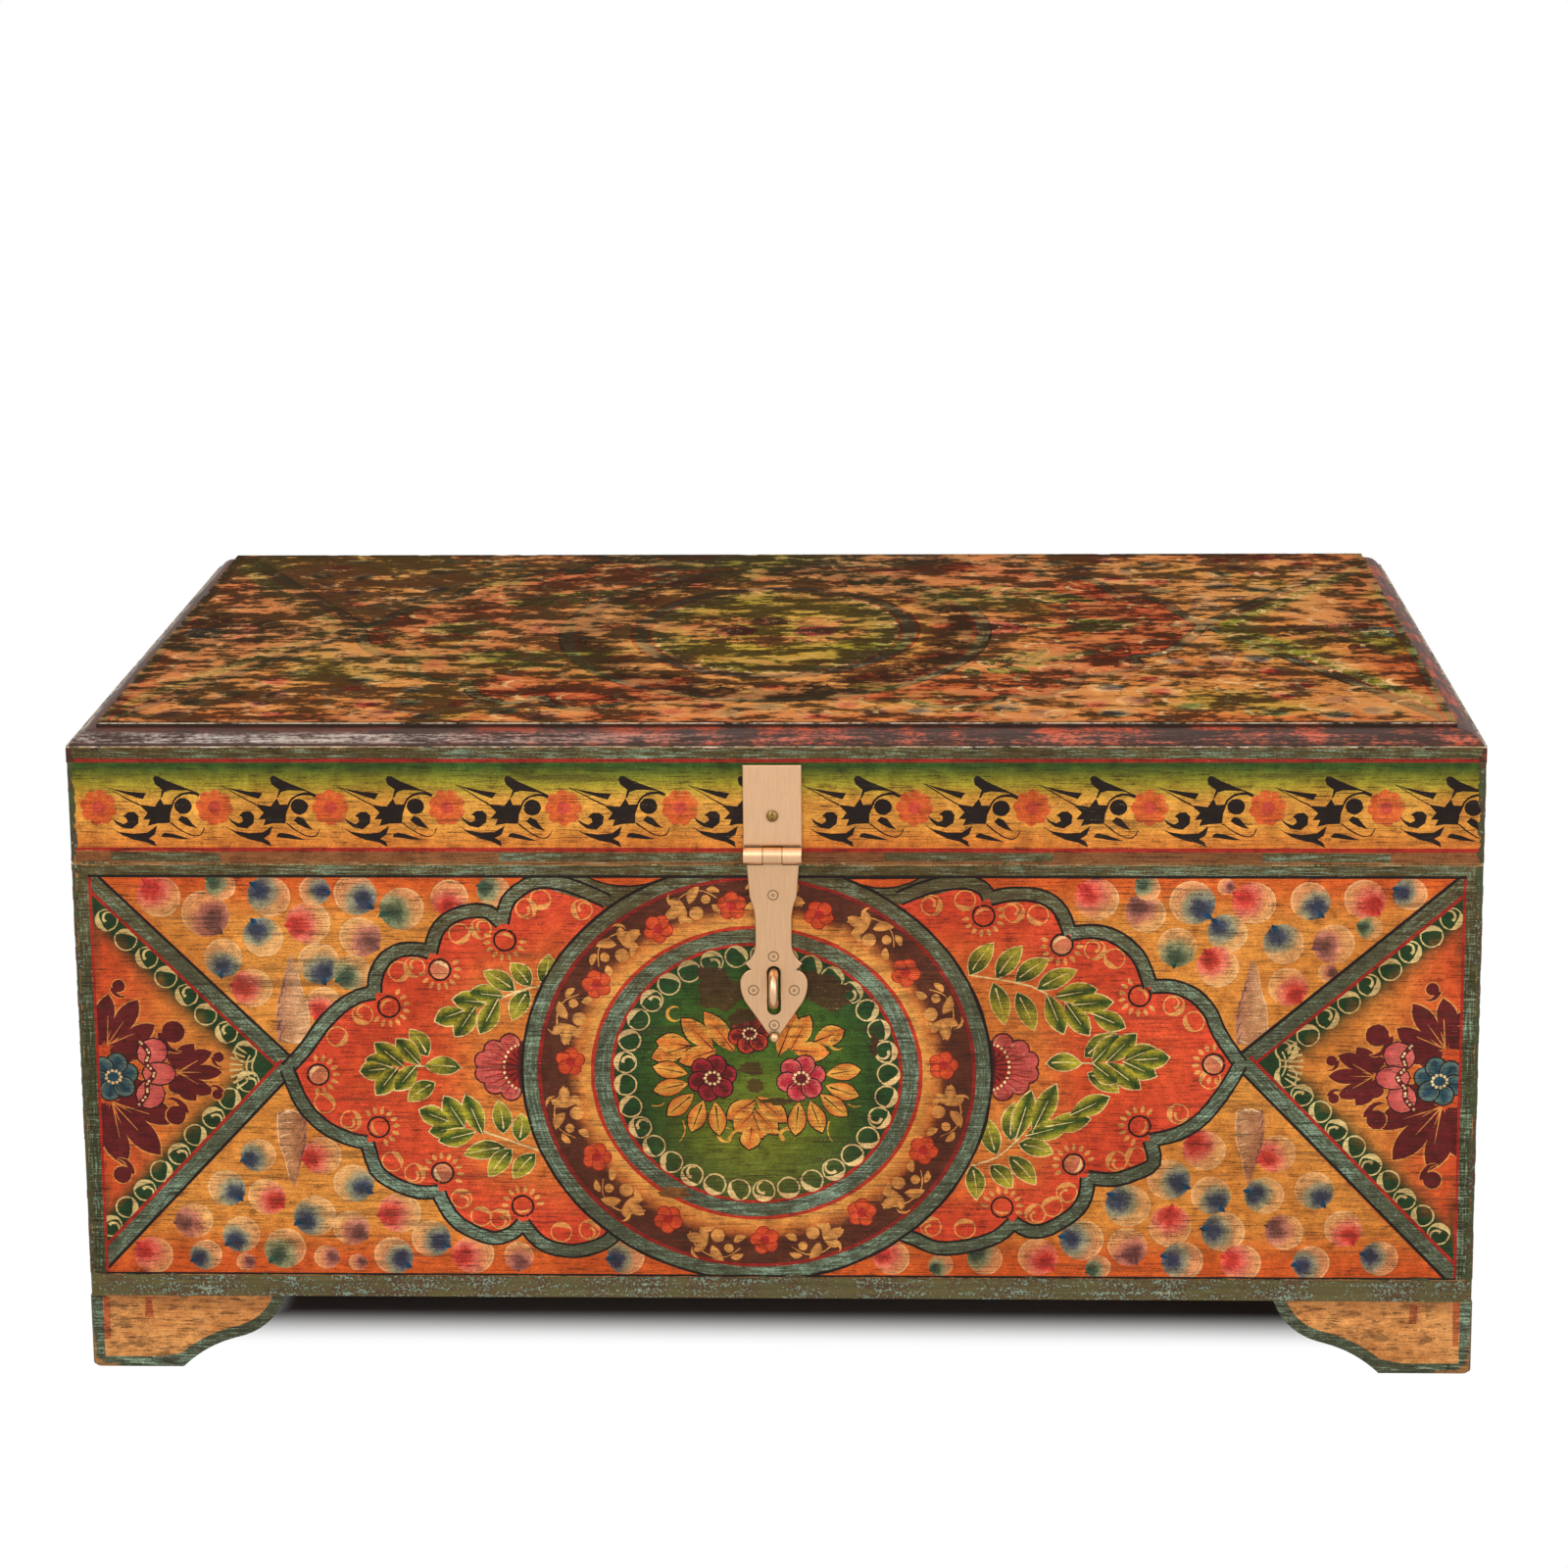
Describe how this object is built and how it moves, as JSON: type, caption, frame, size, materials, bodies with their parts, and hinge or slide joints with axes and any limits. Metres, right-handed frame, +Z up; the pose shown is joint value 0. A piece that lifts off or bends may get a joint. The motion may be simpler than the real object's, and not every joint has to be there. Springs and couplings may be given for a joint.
{
  "type": "painted chest",
  "caption": "Low rectangular wooden keepsake chest with a hinged box lid, moulded lid edge, bracket feet, brass hasp and staple, painted all over with folk ornament.",
  "frame": {"origin": "on the floor, under the middle of the overall box, staple included", "axes": "+X to the right across the front, +Y towards the back, +Z up"},
  "size_m": [0.76, 0.477, 0.365],
  "materials": {
    "painted_walls": "aged hand-painted boards under old varnish, worn at the edges",
    "painted_lid_top": "painted planks worn dark, moulded edge in brown-red varnish",
    "painted_lid_sides": "aged hand-painted rails under old varnish",
    "painted_feet": "ochre paint with a teal border, worn",
    "bottom_wood": "teal painted edge, bare wood inside and beneath",
    "glue_blocks": "rough sawn, bare",
    "hasp_brass": "hand-filed brass, dull with dark patina in the recesses",
    "hinge_brass": "tarnished brass",
    "screws": "tarnished slotted screws",
    "iron_nails": "rusted forged iron"
  },
  "bodies": {
    "chest": {"back_left_foot_block": "glue_blocks", "back_left_foot_face": "painted_feet", "back_left_foot_side": "painted_feet", "back_panel": "painted_walls", "back_right_foot_block": "glue_blocks", "back_right_foot_face": "painted_feet", "back_right_foot_side": "painted_feet", "bottom_board": "bottom_wood", "bottom_nails": "iron_nails", "chest_corner_nails": "iron_nails", "chest_hinge_screws": "screws", "front_left_foot_block": "glue_blocks", "front_left_foot_face": "painted_feet", "front_left_foot_side": "painted_feet", "front_panel": "painted_walls", "front_right_foot_block": "glue_blocks", "front_right_foot_face": "painted_feet", "front_right_foot_side": "painted_feet", "left_end_panel": "painted_walls", "left_hinge_chest_leaf": "hinge_brass", "left_hinge_pin": "hinge_brass", "right_end_panel": "painted_walls", "right_hinge_chest_leaf": "hinge_brass", "right_hinge_pin": "hinge_brass", "staple": "hasp_brass"},
    "lid": {"hasp_pin": "hinge_brass", "hasp_plate": "hasp_brass", "hasp_plate_screw": "screws", "left_hinge_lid_leaf": "hinge_brass", "lid_back_rail": "painted_lid_sides", "lid_corner_nails": "iron_nails", "lid_front_plank": "painted_lid_top", "lid_front_rail": "painted_lid_sides", "lid_hinge_screws": "screws", "lid_left_rail": "painted_lid_sides", "lid_middle_plank": "painted_lid_top", "lid_rear_plank": "painted_lid_top", "lid_right_rail": "painted_lid_sides", "lid_top_nails": "iron_nails", "right_hinge_lid_leaf": "hinge_brass"},
    "hasp": {"hasp_strap": "hasp_brass"}
  },
  "joints": [
    {"name": "lid_hinge", "type": "hinge", "parent": "chest", "child": "lid", "pos_m": [0, 0.2325, 0.2902], "axis": [-1, 0, 0], "range_deg": [0, 105]},
    {"name": "hasp_hinge", "type": "hinge", "parent": "lid", "child": "hasp", "pos_m": [0, -0.2264, 0.2962], "axis": [-1, 0, 0], "range_deg": [0, 175]}
  ]
}
